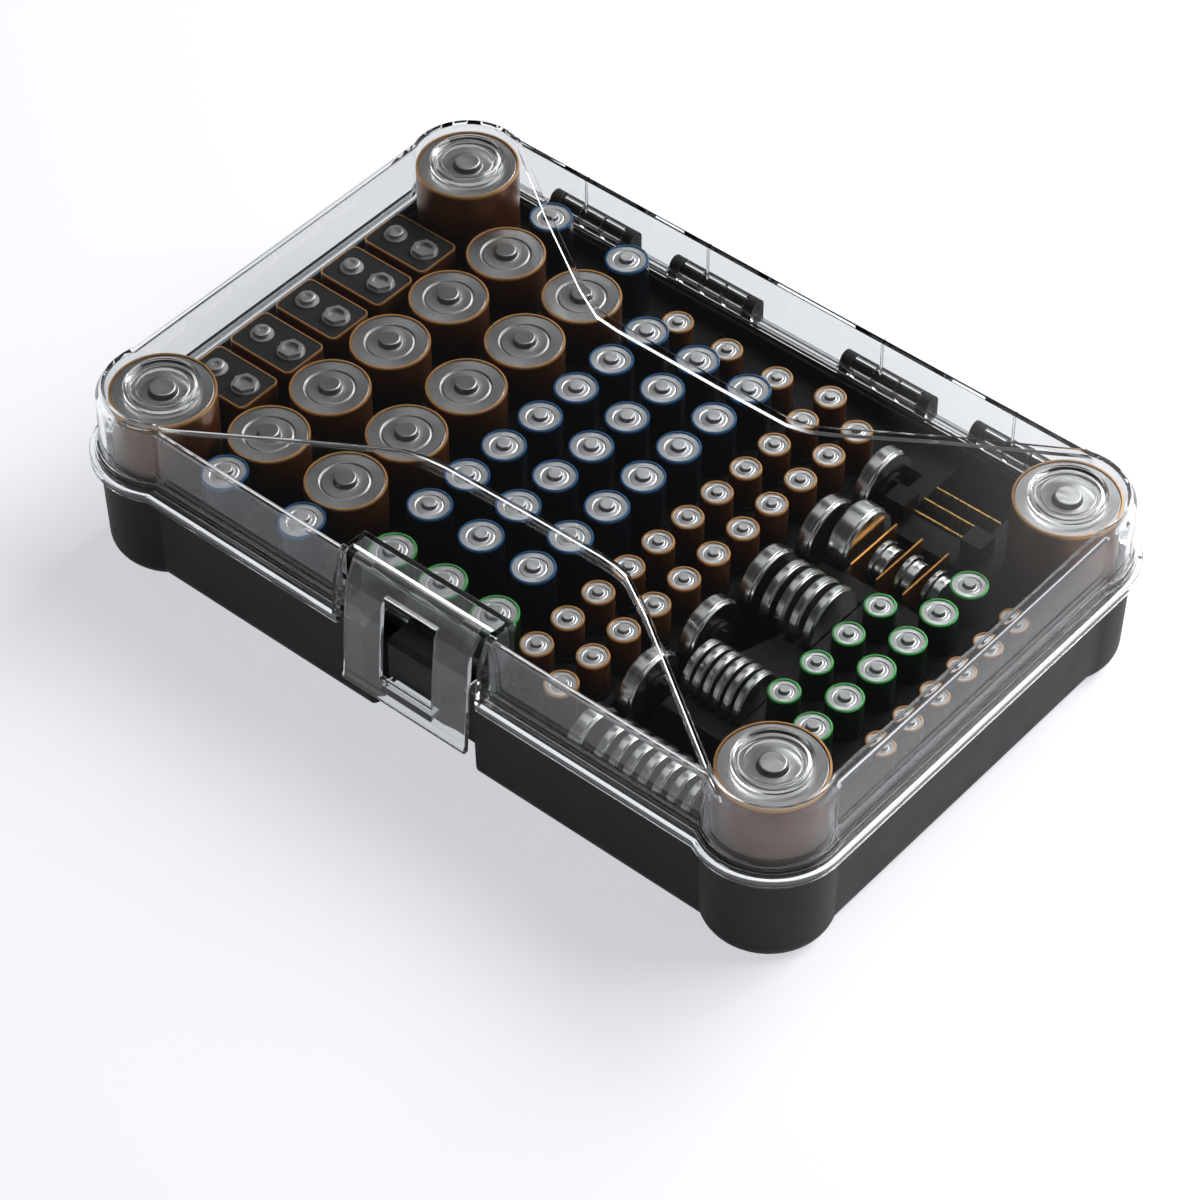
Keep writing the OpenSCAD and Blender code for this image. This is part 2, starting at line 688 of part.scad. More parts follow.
// Plan of the tray, kept clear of the latch recess
module tray_plan(r) {
    difference() {
        plan(r, tray_back);
        translate([-recess_half_w - base_wall - fit_gap, recess_y - corner_y])
            square([2 * (recess_half_w + base_wall + fit_gap), corner_y + base_wall + fit_gap]);
    }
}

// Outlines drawn up from z0 to z1 and kept inside the tray plan of corner radius r
module tubes(z0, z1, r) {
    translate([0, 0, z0])
        linear_extrude(z1 - z0)
            intersection() {
                tray_plan(r);
                children();
            }
}

module well_plan(g) {
    translate([rack_x + g, -(corner_y + tray_r - front_back) + tube_wall + g])
        square([rack_right - rack_x - 2 * g,
            corner_y + tray_r - front_back - tube_wall + well_edge - 2 * g]);
}

// Notches in the deck at both ends of a coin slot
module slot_notches(q, r, t, g) {
    translate([q[0] - g, q[1] - 1.12 * r, deck_z - deck_t])
        cube([t + 2 * g, 2.24 * r, 2 * deck_t]);
}

// Clip that leans on a large coin cell of the left column: a rounded plate with a rib behind it
module coin_clip(q) {
    back = q[0] + thick_coin_t + fit_gap;
    clip_r = 0.45 * coin_r;
    rib = column_slot - thick_coin_t;
    rib_low = deck_z - rack_depth + tube_wall;
    translate([back, q[1], coin_z])
        rotate([0, 90, 0])
            cylinder(r = clip_r, h = 2.5 * tube_wall);
    translate([back + tube_wall, q[1] - tube_wall, rib_low])
        cube([rib - tube_wall, 2 * tube_wall, coin_z + 0.9 * clip_r - rib_low]);
}

module battery_tray() color([0.05, 0.05, 0.055])
    translate([0, centre_y, 0]) {
        tube_g = fit_gap + tube_wall;
        short_floor = deck_z - short_depth;
        tubes_foot_z = base_floor + foot_inner_r;
        trench_right = button_xs[2] + button_t + fit_gap;
        difference() {
            union() {
                translate([0, 0, base_floor])
                    linear_extrude(tray_floor)
                        tray_plan(tray_r - foot_inner_r);
                tubes(cell_z, tubes_foot_z, tray_r - foot_inner_r)
                    long_pockets(tube_g);
                tubes(tubes_foot_z, deck_z, tray_r)
                    long_pockets(tube_g);
                tubes(cell_z, deck_z + collar_h, tray_r)
                    rings(aaa_places, aaa_r + tube_g);
                tubes(tubes_foot_z, deck_z, tray_r)
                    rings(d_places, d_r + tube_g);
                translate([0, 0, short_floor - tray_floor])
                    linear_extrude(deck_z - short_floor + tray_floor)
                        short_pockets(tube_g);
                translate([0, 0, deck_z - deck_t])
                    linear_extrude(deck_t)
                        tray_plan(tray_r + fit_gap);
                translate([0, 0, deck_z - deck_t])
                    linear_extrude(deck_t + tray_rim_h)
                        difference() {
                            tray_plan(tray_r + fit_gap);
                            tray_plan(tray_r + fit_gap - 2 * tube_wall);
                        }
                translate([rack_x, well_edge, deck_z - rack_depth])
                    cube([rack_right - rack_x, rack_rear - well_edge, rack_depth]);
                translate([0, 0, deck_z - 1.25 * rack_depth])
                    linear_extrude(1.25 * rack_depth)
                        well_plan(0);
                for (q = clip_places)
                    coin_clip(q);
                for (s = [0.563, 0.805])
                    translate([s * corner_x - block_y / 5, rack_rear - block_y / 5, deck_z - deck_t])
                        cube([0.44 * block_y, 0.44 * block_y, deck_t + 0.4 * block_y]);
            }
            translate([0, 0, cell_z])
                linear_extrude(deck_z + tray_rim_h)
                    deep_pockets(fit_gap);
            translate([0, 0, short_floor])
                linear_extrude(deck_z + tray_rim_h)
                    short_pockets(fit_gap);
            difference() {
                for (q = column_places)
                    coin_slot(q, coin_z, coin_r, column_slot, fit_gap);
                for (q = clip_places)
                    coin_clip(q);
            }
            for (q = small_row) {
                coin_slot(q, small_coin_z, small_coin_r, slim_coin_t, fit_gap);
                slot_notches(q, small_coin_r, slim_coin_t, fit_gap);
            }
            for (q = large_row) {
                coin_slot(q, coin_z, coin_r, coin_t, fit_gap);
                slot_notches(q, coin_r, coin_t, fit_gap);
            }
            coin_slot(extra_place, coin_z, coin_r, extra_coin_t, fit_gap);
            slot_notches(extra_place, coin_r, extra_coin_t, fit_gap);
            translate([plate_xs[0] - plate_t - fit_gap, plate_y - plate_len / 2 - fit_gap, trench_floor])
                cube([trench_right - plate_xs[0] + plate_t + fit_gap, plate_len + 2 * fit_gap, deck_z]);
            translate([strip_x - strip_len / 2 - fit_gap, rack_rear + 0.1 * block_y, deck_z - 2 * deck_t])
                cube([strip_len + 2 * fit_gap, corner_y + tray_r - rack_rear - 0.1 * block_y - 6 * tube_wall,
                    3 * deck_t]);
            difference() {
                translate([0, 0, deck_z - 1.25 * rack_depth + deck_t])
                    linear_extrude(2 * rack_depth)
                        well_plan(tube_wall);
                translate([rack_x, well_y - small_coin_r, deck_z - 1.25 * rack_depth])
                    cube([rack_right - rack_x, 2 * small_coin_r, 0.8 * rack_depth]);
            }
            coin_slot(well_thick_place, well_coin_z, small_coin_r, thick_coin_t, fit_gap);
            for (q = well_row)
                coin_slot(q, well_coin_z, small_coin_r, coin_t, fit_gap);
        }
    }

// Cells

// Top of a metal can, as shares of its radius and of its rim step, from the rim to the nub
can_top_shares = [[1, -1], [0.985, -0.4], [0.96, 0], [0.66, 0], [0.64, -0.8], [0.61, -0.8], [0.59, -0.3],
    [0.43, -0.3]];
// Outline of the nub, as shares of its radius and of its height
nub_shares = [[1.16, 0.06], [1.1, 0.12], [1, 0.8], [0.94, 0.95], [0.86, 1]];
// Radius of the nub of a large, a medium and a narrow cell, as shares of the cell's radius
large_nub_share = 0.26;
medium_nub_share = 0.28;
narrow_nub_share = 0.33;

// Metal can of radius r and height h standing on z, with a nub
module can(r, h, z, nub_share, nub_h) {
    step = 0.03 * r + 0.1 * nub_h;
    foot = 0.08 * r;
    nub = nub_share * r;
    translate([0, 0, z])
        rotate_extrude()
            polygon(concat([[0, 0], [r - foot, 0], [r - 0.3 * foot, 0.3 * foot], [r, foot]],
                [for (s = can_top_shares) [s[0] * r, h + s[1] * step]],
                [for (s = nub_shares) [s[0] * nub, h - 0.3 * step + s[1] * (nub_h + 0.3 * step)]],
                [[0, h + nub_h]]));
}

// Printed sleeve round a can, turned in over its top edge
module jacket(r, h, z, t) {
    lip = 1.75 * t;
    gap = 0.1 * t;
    translate([0, 0, z])
        rotate_extrude()
            polygon([[r - t, 0.1 * r], [r - 0.5 * t, 0.08 * r], [r, 0.12 * r], [r, h + gap],
                [r - 0.4 * t, h + t - gap], [r - lip, h + t], [r - lip, h + gap], [r - t, h + gap]]);
}

module cans(places, r, h, z, nub_share, nub_h) color([0.75, 0.75, 0.76])
    translate([0, centre_y, 0])
        for (q = places)
            translate(q)
                can(r - 1.1 * sleeve_t, h - sleeve_t, z, nub_share, nub_h + sleeve_t);

module jackets(places, r, h, z)
    translate([0, centre_y, 0])
        for (q = places)
            translate(q)
                jacket(r, h - sleeve_t, z, sleeve_t);

copper = [0.55, 0.33, 0.18];
short_z = deck_z - short_depth;

module d_cell_cans() cans(d_places, d_r, d_h, cell_z, large_nub_share, big_nub_h);
module d_cell_jackets() color(copper) jackets(d_places, d_r, d_h, cell_z);
module c_cell_cans() cans(c_places, c_r, c_h, cell_z, medium_nub_share, big_nub_h);
module c_cell_jackets() color(copper) jackets(c_places, c_r, c_h, cell_z);
module aa_cell_cans() cans(aa_places, aa_r, aa_h, cell_z, narrow_nub_share, finger_nub_h);
module aa_cell_jackets() color([0.05, 0.16, 0.3]) jackets(aa_places, aa_r, aa_h, cell_z);
module aa_green_cans() cans(aa_green_places, aa_r, aa_h, cell_z, narrow_nub_share, finger_nub_h);
module aa_green_jackets() color([0.1, 0.45, 0.18]) jackets(aa_green_places, aa_r, aa_h, cell_z);
module aaa_cell_cans() cans(aaa_places, aaa_r, aaa_h, cell_z, narrow_nub_share, slim_nub_h);
module aaa_cell_jackets() color(copper) jackets(aaa_places, aaa_r, aaa_h, cell_z);
module short_green_cans()
    cans(short_places, short_cell_r, short_cell_h, short_z, narrow_nub_share, finger_nub_h);
module short_green_jackets() color([0.1, 0.45, 0.18])
    jackets(short_places, short_cell_r, short_cell_h, short_z);
module small_green_cans() cans(small_places, small_r, small_h, short_z, narrow_nub_share, slim_nub_h);
module small_green_jackets() color([0.1, 0.45, 0.18]) jackets(small_places, small_r, small_h, short_z);
module small_copper_cans() cans(mini_places, mini_r, mini_h, short_z, narrow_nub_share, slim_nub_h);
module small_copper_jackets() color(copper) jackets(mini_places, mini_r, mini_h, short_z);

// Block batteries

module at_blocks()
    translate([0, centre_y, 0])
        for (q = block_places)
            translate(q)
                children();

block_corner_r = block_y / 8;
block_lip = sleeve_t;
terminal_dx = 0.24 * block_x;

module block_jackets() color(copper)
    at_blocks()
        difference() {
            translate([0, 0, cell_z])
                linear_extrude(block_h)
                    rounded(block_x, block_y, block_corner_r);
            translate([0, 0, cell_z + block_h - block_top_t])
                linear_extrude(block_top_t + cut)
                    rounded(block_x - 2 * block_lip, block_y - 2 * block_lip, block_corner_r - block_lip / 2);
        }

module block_tops() color([0.16, 0.16, 0.165])
    at_blocks()
        translate([0, 0, cell_z + block_h - block_top_t])
            linear_extrude(block_top_t - block_lip / 2)
                rounded(block_x - 2.2 * block_lip, block_y - 2.2 * block_lip, block_corner_r - block_lip / 2);

module block_terminals() color([0.7, 0.7, 0.71])
    at_blocks()
        translate([0, 0, cell_z + block_h - block_lip / 2]) {
            snap_r = 0.16 * block_y;
            socket_r = 0.24 * block_y;
            translate([-terminal_dx, 0, 0])
                rotate_extrude()
                    polygon([[0, 0], [1.4 * snap_r, 0], [1.4 * snap_r, 0.15 * terminal_h],
                        [0.85 * snap_r, 0.25 * terminal_h],
                        [snap_r, 0.6 * terminal_h], [snap_r, 0.9 * terminal_h], [0.8 * snap_r, terminal_h],
                        [0.45 * snap_r, terminal_h], [0.35 * snap_r, 0.75 * terminal_h],
                        [0, 0.75 * terminal_h]]);
            translate([terminal_dx, 0, 0])
                difference() {
                    union() {
                        cylinder(r = 1.1 * socket_r, h = 0.2 * terminal_h);
                        cylinder(r = socket_r, h = 0.85 * terminal_h, $fn = 6);
                    }
                    translate([0, 0, 0.3 * terminal_h])
                        cylinder(r = 0.62 * socket_r, h = terminal_h);
                }
        }

// Coin cells

// Outline of a coin cell and of a button cell, as shares of thickness and radius along their axis
coin_shares = [[0, 0.97], [0.03, 0.99], [0.1, 1], [0.76, 1], [0.82, 0.98], [0.84, 0.96], [0.96, 0.955],
    [1, 0.93]];
button_shares = [[0, 0.96], [0.05, 1], [0.3, 1], [0.36, 0.96], [0.4, 0.86], [0.93, 0.85], [1, 0.8]];

// Coin cell of radius r and thickness t along the front, with its narrow side towards higher x
module coin(q, z, r, t, shares) {
    translate([q[0], q[1], z])
        rotate([0, 90, 0])
            rotate_extrude()
                polygon(concat([[0, 0]], [for (s = shares) [s[1] * r, s[0] * t]], [[0, t]]));
}

module coins(places, z, r, t, shares) color([0.6, 0.6, 0.61])
    translate([0, centre_y, 0])
        for (q = places)
            coin(q, z, r, t, shares);

module thick_coin_cells() {
    coins(column_places, coin_z, coin_r, thick_coin_t, coin_shares);
    coins([well_thick_place], well_coin_z, small_coin_r, thick_coin_t, coin_shares);
}

module extra_thick_coin_cell() coins([extra_place], coin_z, coin_r, extra_coin_t, coin_shares);
module thin_coin_cells() coins(large_row, coin_z, coin_r, coin_t, coin_shares);

module small_coin_cells() {
    coins(small_row, small_coin_z, small_coin_r, slim_coin_t, coin_shares);
    coins(well_row, well_coin_z, small_coin_r, coin_t, coin_shares);
}

module button_cells() coins([for (x = button_xs) [x, plate_y]], button_z, button_r, button_t, button_shares);

module divider_plates() color([0.8, 0.5, 0.22])
    translate([0, centre_y, 0])
        for (x = plate_xs)
            translate([x - plate_t, plate_y - plate_len / 2, trench_floor])
                cube([plate_t, plate_len, plate_top - trench_floor]);

module brass_strips() color([0.8, 0.6, 0.3])
    translate([0, centre_y, 0])
        for (y = strip_ys)
            translate([strip_x - strip_len / 2, y - plate_t / 2, deck_z - 2 * deck_t])
                cube([strip_len, plate_t, 2 * deck_t + plate_t]);

base_shell();
battery_tray();
lid();
latch();
hinge_pins();
latch_pins();
d_cell_cans();
d_cell_jackets();
c_cell_cans();
c_cell_jackets();
aa_cell_cans();
aa_cell_jackets();
aa_green_cans();
aa_green_jackets();
aaa_cell_cans();
aaa_cell_jackets();
short_green_cans();
short_green_jackets();
small_green_cans();
small_green_jackets();
small_copper_cans();
small_copper_jackets();
block_jackets();
block_tops();
block_terminals();
thick_coin_cells();
extra_thick_coin_cell();
thin_coin_cells();
small_coin_cells();
button_cells();
divider_plates();
brass_strips();
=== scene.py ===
import math

import bpy
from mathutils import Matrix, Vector

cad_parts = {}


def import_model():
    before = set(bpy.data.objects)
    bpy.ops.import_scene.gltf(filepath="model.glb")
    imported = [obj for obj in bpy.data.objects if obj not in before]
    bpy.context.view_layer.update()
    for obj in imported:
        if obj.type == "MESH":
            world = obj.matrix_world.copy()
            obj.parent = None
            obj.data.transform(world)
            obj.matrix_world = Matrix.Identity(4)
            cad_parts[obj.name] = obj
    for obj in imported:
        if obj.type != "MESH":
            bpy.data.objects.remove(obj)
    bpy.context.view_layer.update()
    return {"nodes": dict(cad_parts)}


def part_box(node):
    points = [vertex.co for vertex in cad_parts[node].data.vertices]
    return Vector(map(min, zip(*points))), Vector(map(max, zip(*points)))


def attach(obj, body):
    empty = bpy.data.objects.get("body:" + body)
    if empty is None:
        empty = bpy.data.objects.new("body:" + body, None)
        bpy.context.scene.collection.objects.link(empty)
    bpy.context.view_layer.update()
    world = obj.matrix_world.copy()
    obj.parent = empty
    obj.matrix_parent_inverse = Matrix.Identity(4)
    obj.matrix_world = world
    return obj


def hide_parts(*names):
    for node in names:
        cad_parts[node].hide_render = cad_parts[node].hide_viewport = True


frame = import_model()
nodes = frame["nodes"]

MM = 0.001

# The photograph's camera: where it stands, how it looks in degrees, lens and film width in millimetres
CAMERA_AT = Vector((618.2, -735.0, 973.2)) * MM
CAMERA_AZIMUTH = 40.31
CAMERA_ELEVATION = 45.59
CAMERA_LENS = 128.9
FILM_WIDTH = 36

# Brightness of the studio walls and of the dark ceiling, and the sines of height where they meet
SURROUNDINGS = 0.75
CEILING = 0.05
WALL_TOP = 0.15
CEILING_EDGE = 0.5
# Share of the surroundings that lights matt surfaces
SOFT_SHARE = 0.45
# Pale cards that only mirrors see: direction, cosines of the soft edge and of the full middle, brightness
REAR_CARD = ((-0.15, 0.8, 0.58), 0.938, 0.99, 3.4)
TOP_CARD = ((-0.1, 0.12, 0.98), 0.89, 0.94, 1.3)
# Lamps: place, the point that it looks at, both sides in metres, watts
KEY_LAMP = ((0.7, 0.75, 1.05), (0.03, 0, 0), (0.8, 0.7), 8.5)
REAR_LAMP = ((0.1, 1.56, 1.24), (0, 0, 0), (1.0, 1.0), 17)

# Side and colours of the floor, the white that is left in its shadows, and the part of it that mirrors see
FLOOR_SIDE = 12
FLOOR_WHITE = (0.8, 0.8, 0.8)
FLOOR_GLOW_COLOUR = (0.93, 0.95, 1)
FLOOR_GLOW = 0.62
FLOOR_MIRRORED = 0.4

# Turns of a ray inside clear plastic after which it is let out
MOST_TURNS = 5.5

# The raised middle panel of the lid: height of its step, distance in from the sides, clearness of the step,
# kept below full so that the step faces show a painted highlight
STEP_HEIGHT = 1.7 * MM
STEP_MARGIN = 6 * MM
STEP_HIGHLIGHT_CLEARNESS = 0.92
# Distance from the rear of the latch within which the walls of the lid are the housing of the latch
HOUSING_DEPTH = 9 * MM
# Upward part of the normal that a step face stays under, and forward part that a housing face exceeds
STEP_NORMAL = 0.98
HOUSING_NORMAL = 0.9

# Tops of the cans, whose nub and ring walls get painted shade: upward part of the normal that a shaded
# wall stays under, and the share of the can's radius that lies inside its own side
SHADED_WALL_NORMAL = 0.7
SHADED_TOP_SHARE = 0.9

# Cleaning a copy: distances that are merged, and the angle in degrees up to which faces count as one flat
FINE_MERGE = 0.004 * MM
COARSE_MERGE = 0.02 * MM
FLAT_ANGLE = 0.5
# Angles in degrees: from where an edge is rounded, and up to where each kind of piece is shaded smooth
ROUNDED_FROM = 32
MOULDED_SMOOTH = 28
CAN_SMOOTH = 16
COIN_SMOOTH = 40
SNAP_SMOOTH = 20


# Selection and mesh helpers

def only(piece):
    """Selects one piece and makes it active."""
    bpy.ops.object.select_all(action="DESELECT")
    piece.select_set(True)
    bpy.context.view_layer.objects.active = piece


def clean_copy(node, name, merge, flats):
    """A copy of a CAD node as one closed mesh, with the triangles of each flat joined where flats is set."""
    source = nodes[node]
    piece = bpy.data.objects.new(name, source.data.copy())
    piece.data.name = name
    bpy.context.scene.collection.objects.link(piece)
    only(piece)
    bpy.ops.mesh.customdata_custom_splitnormals_clear()
    bpy.ops.object.mode_set(mode="EDIT")
    bpy.ops.mesh.select_mode(type="VERT")
    bpy.ops.mesh.select_all(action="SELECT")
    bpy.ops.mesh.remove_doubles(threshold=merge)
    if flats:
        bpy.ops.mesh.dissolve_limited(angle_limit=math.radians(FLAT_ANGLE))
    bpy.ops.object.mode_set(mode="OBJECT")
    return piece


def round_edges(piece, edge, segments, limited):
    """Rounds the sharp edges by edge millimetres, and less where they lie close if limited is set."""
    bevel = piece.modifiers.new("edges", "BEVEL")
    bevel.width = edge * MM
    bevel.segments = segments
    bevel.limit_method = "ANGLE"
    bevel.angle_limit = math.radians(ROUNDED_FROM)
    bevel.use_clamp_overlap = limited
    bevel.loop_slide = True
    bevel.miter_outer = "MITER_ARC"
    bpy.ops.object.modifier_apply(modifier="edges")


def shade(piece, smooth):
    """Shades bends up to an angle smooth and keeps the large flats flat."""
    bpy.ops.object.shade_smooth_by_angle(angle=math.radians(smooth))
    flat = piece.modifiers.new("flat_panels", "WEIGHTED_NORMAL")
    flat.keep_sharp = True
    flat.weight = 100
    bpy.ops.object.modifier_apply(modifier="flat_panels")


def moulded_copy(node, name, edge, segments=2):
    """A copy of a moulded node whose crowded edges are rounded only as far as their neighbours allow."""
    piece = clean_copy(node, name, FINE_MERGE, True)
    round_edges(piece, edge, segments, True)
    shade(piece, MOULDED_SMOOTH)
    return piece


def clear_copy(node, name, edge):
    """A copy of a clear node whose edges all have the full rounding, because they catch the light."""
    piece = clean_copy(node, name, COARSE_MERGE, True)
    round_edges(piece, edge, 2, False)
    shade(piece, MOULDED_SMOOTH)
    return piece


def metal_copy(node, name, edge, smooth):
    """A copy of a pressed or turned metal node, as fine as the CAD made it."""
    piece = clean_copy(node, name, FINE_MERGE, False)
    round_edges(piece, edge, 1, True)
    shade(piece, smooth)
    return piece


def turning_map(piece, axis):
    """A UV map of each loose part: the angle round its own axis, and the way out from it plus along it."""
    mesh = piece.data
    side_a, side_b = [i for i in range(3) if i != axis]
    part_of = list(range(len(mesh.vertices)))

    def root(i):
        while part_of[i] != i:
            part_of[i] = part_of[part_of[i]]
            i = part_of[i]
        return i

    for edge in mesh.edges:
        a, b = (root(i) for i in edge.vertices)
        if a != b:
            part_of[a] = b
    lows, highs = {}, {}
    for v in mesh.vertices:
        key = root(v.index)
        lows[key] = [min(p, q) for p, q in zip(lows.get(key, v.co), v.co)]
        highs[key] = [max(p, q) for p, q in zip(highs.get(key, v.co), v.co)]

    def place(co, key):
        a = co[side_a] - (lows[key][side_a] + highs[key][side_a]) / 2
        b = co[side_b] - (lows[key][side_b] + highs[key][side_b]) / 2
        return math.atan2(b, a), math.hypot(a, b)

    uv = mesh.uv_layers.get("turning") or mesh.uv_layers.new(name="turning")
    full_turn = 2 * math.pi
    hub = 0.1 * MM
    for face in mesh.polygons:
        key = root(face.vertices[0])
        middle = place(face.center, key)[0]
        for i in face.loop_indices:
            co = mesh.vertices[mesh.loops[i].vertex_index].co
            angle, radius = place(co, key)
            turn = (angle - middle + math.pi) % full_turn - math.pi if radius > hub else 0
            uv.data[i].uv = (middle + turn, radius + co[axis])


# Shader nodes

def new_material(name):
    """An empty material and its node tree."""
    material = bpy.data.materials.new(name)
    material.use_nodes = True
    tree = material.node_tree
    tree.nodes.clear()
    return material, tree


def add(tree, kind, sockets=None, **settings):
    """A shader node with its settings, each socket given a value or wired to another node's output."""
    node = tree.nodes.new(kind)
    for key, value in settings.items():
        setattr(node, key, value)
    for key, value in (sockets or {}).items():
        if isinstance(value, bpy.types.NodeSocket):
            tree.links.new(value, node.inputs[key])
        else:
            node.inputs[key].default_value = value
    return node


def finish_with(tree, shader):
    """Wires a shader to the surface of its material."""
    add(tree, "ShaderNodeOutputMaterial", {"Surface": shader.outputs[0]})


def compute(tree, operation, *terms):
    """A sum, a product or a comparison of outputs and numbers."""
    return add(tree, "ShaderNodeMath", dict(enumerate(terms)), operation=operation).outputs[0]


def object_coords(tree):
    """The place of a point in the shared frame."""
    return add(tree, "ShaderNodeTexCoord").outputs["Object"]


def noise(tree, coords, scale, detail=2, stretch=None):
    """Noise over coordinates, with an optional stretch along each axis."""
    if stretch:
        coords = add(tree, "ShaderNodeMapping", {"Vector": coords, "Scale": stretch}).outputs["Vector"]
    sockets = {"Vector": coords, "Scale": scale, "Detail": detail, "Roughness": 0.5}
    return add(tree, "ShaderNodeTexNoise", sockets).outputs["Fac"]


def ramp(tree, fac, stops):
    """A colour ramp through stops of place and colour."""
    node = add(tree, "ShaderNodeValToRGB", {"Fac": fac})
    elements = node.color_ramp.elements
    while len(elements) < len(stops):
        elements.new(0.5)
    for element, (place, colour) in zip(elements, stops):
        element.position = place
        element.color = (*colour, 1)
    return node.outputs["Color"]


def spread(tree, fac, low, high, from_low=0.3, from_high=0.7):
    """Maps an output from its usual range onto the range low to high."""
    sockets = {"Value": fac, "From Min": from_low, "From Max": from_high, "To Min": low, "To Max": high}
    return add(tree, "ShaderNodeMapRange", sockets).outputs["Result"]


def bump(tree, height, strength, depth):
    """A normal from a height, with its depth in millimetres."""
    sockets = {"Height": height, "Strength": strength, "Distance": depth * MM}
    return add(tree, "ShaderNodeBump", sockets).outputs["Normal"]


def toned(colour, share):
    """A lighter or darker colour."""
    return tuple(share * c for c in colour)


# Finishes

# Scales of the noise, in waves per metre: moulded plastic, clear plastic, metal, printed film, thin sheet
CLOUD_SCALE = 22
GLOSS_SCALE = 90
GRAIN_SCALE = 2600
HAZE_SCALE = 60
MOTTLE_SCALE = 120
FILM_STREAK_SCALE = 60
FILM_GRAIN_SCALE = 900
SHEET_STREAK_SCALE = 900
# Shares of a cell's height: up to the first the film has the painted shade of the foot, between the next two
# it has its own colour, and from the last it has the painted light of the bright rim
SHADED_FOOT_SHARE, BODY_LOW_SHARE, BODY_HIGH_SHARE, LIT_RIM_SHARE = 0.55, 0.93, 0.975, 0.992


def moulded_plastic(name, colour, rough, grain_depth):
    """Satin moulded plastic: fine grain, slow changes of gloss and a faint cloudiness in the colour."""
    material, tree = new_material(name)
    coords = object_coords(tree)
    clouds = noise(tree, coords, CLOUD_SCALE, 4)
    gloss = noise(tree, coords, GLOSS_SCALE, 5)
    grain = noise(tree, coords, GRAIN_SCALE)
    shader = add(tree, "ShaderNodeBsdfPrincipled", {
        "IOR": 1.48,
        "Specular IOR Level": 0.2,
        "Base Color": ramp(tree, clouds, [(0.3, toned(colour, 0.9)), (0.7, toned(colour, 1.12))]),
        "Roughness": spread(tree, gloss, rough - 0.05, rough + 0.06),
        "Normal": bump(tree, grain, 0.5, grain_depth),
    })
    finish_with(tree, shader)
    return material


def smoke_clear(name, tint, rough, clearness=1.0):
    """Clear smoke-tinted plastic that bends what is seen through it and lets lamp light pass."""
    material, tree = new_material(name)
    haze = noise(tree, object_coords(tree), HAZE_SCALE, 3)
    glass = add(tree, "ShaderNodeBsdfPrincipled", {
        "IOR": 1.5,
        "Transmission Weight": clearness,
        "Base Color": (*tint, 1),
        "Roughness": spread(tree, haze, rough, rough + 0.02),
    })
    passed = add(tree, "ShaderNodeBsdfTransparent", {"Color": (*toned(tint, 0.95), 1)})
    ray = add(tree, "ShaderNodeLightPath").outputs
    shading = compute(tree, "MAXIMUM", ray["Is Shadow Ray"], ray["Is Diffuse Ray"])
    trapped = compute(tree, "GREATER_THAN", ray["Ray Depth"], MOST_TURNS)
    passes = compute(tree, "MAXIMUM", shading, trapped)
    mixed = {0: passes, 1: glass.outputs[0], 2: passed.outputs[0]}
    finish_with(tree, add(tree, "ShaderNodeMixShader", mixed))
    return material


def turned_metal(name, colour, rough, ring_scale, ring_depth, brushed=0.0, metallic=1.0):
    """Metal with fine turned rings, which follow the turning map round each cell's own axis."""
    material, tree = new_material(name)
    turning = add(tree, "ShaderNodeUVMap", uv_map="turning").outputs["UV"]
    rings = noise(tree, turning, ring_scale, stretch=(0, 1, 1))
    mottle = noise(tree, object_coords(tree), MOTTLE_SCALE)
    sockets = {
        "Metallic": metallic,
        "Anisotropic": brushed,
        "Base Color": ramp(tree, mottle, [(0.25, toned(colour, 0.95)), (0.75, colour)]),
        "Roughness": spread(tree, rings, rough - 0.03, rough + 0.05),
        "Normal": bump(tree, rings, 0.35, ring_depth),
    }
    if brushed:
        along = add(tree, "ShaderNodeTangent", direction_type="UV_MAP", uv_map="turning")
        sockets["Tangent"] = along.outputs["Tangent"]
    finish_with(tree, add(tree, "ShaderNodeBsdfPrincipled", sockets))
    return material


def printed_film_with_painted_shade_and_light(name, jackets, lit_rim, body, shaded_foot):
    """Metallic printed film round the cells of one node, with painted light at the rim and painted shade
    towards the foot.
    """
    material, tree = new_material(name)
    low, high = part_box(jackets)
    coords = object_coords(tree)
    axes = add(tree, "ShaderNodeSeparateXYZ", {0: coords})
    height = spread(tree, axes.outputs["Z"], 0, 1, low.z, high.z)
    streaks = noise(tree, coords, FILM_STREAK_SCALE, stretch=(1, 1, 0.05))
    # Colour by height: painted shade towards the foot and painted light at the rim
    stops = [(SHADED_FOOT_SHARE, shaded_foot), (BODY_LOW_SHARE, body), (BODY_HIGH_SHARE, body), (LIT_RIM_SHARE, lit_rim)]
    shader = add(tree, "ShaderNodeBsdfPrincipled", {
        "Metallic": 0.3,
        "Base Color": ramp(tree, height, stops),
        "Roughness": spread(tree, streaks, 0.3, 0.34),
        "Normal": bump(tree, noise(tree, coords, FILM_GRAIN_SCALE), 0.15, 0.05),
    })
    finish_with(tree, shader)
    return material


def satin_sheet(name, colour, rough):
    """Thin copper or brass sheet with drawn streaks."""
    material, tree = new_material(name)
    streaks = noise(tree, object_coords(tree), SHEET_STREAK_SCALE, 3, (1, 1, 0.06))
    shader = add(tree, "ShaderNodeBsdfPrincipled", {
        "Metallic": 1.0,
        "Base Color": ramp(tree, streaks, [(0.3, toned(colour, 0.7)), (0.7, colour)]),
        "Roughness": spread(tree, streaks, rough, rough + 0.15),
    })
    finish_with(tree, shader)
    return material


# Dressing the pieces

def dress(piece, node, body, material):
    """Puts a finished piece in the place of its CAD node."""
    piece.data.materials.clear()
    piece.data.materials.append(material)
    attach(piece, body)
    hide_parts(node)


def coat(node, material):
    """Gives a CAD node that stays its finish."""
    for place in nodes[node].material_slots:
        place.material = material


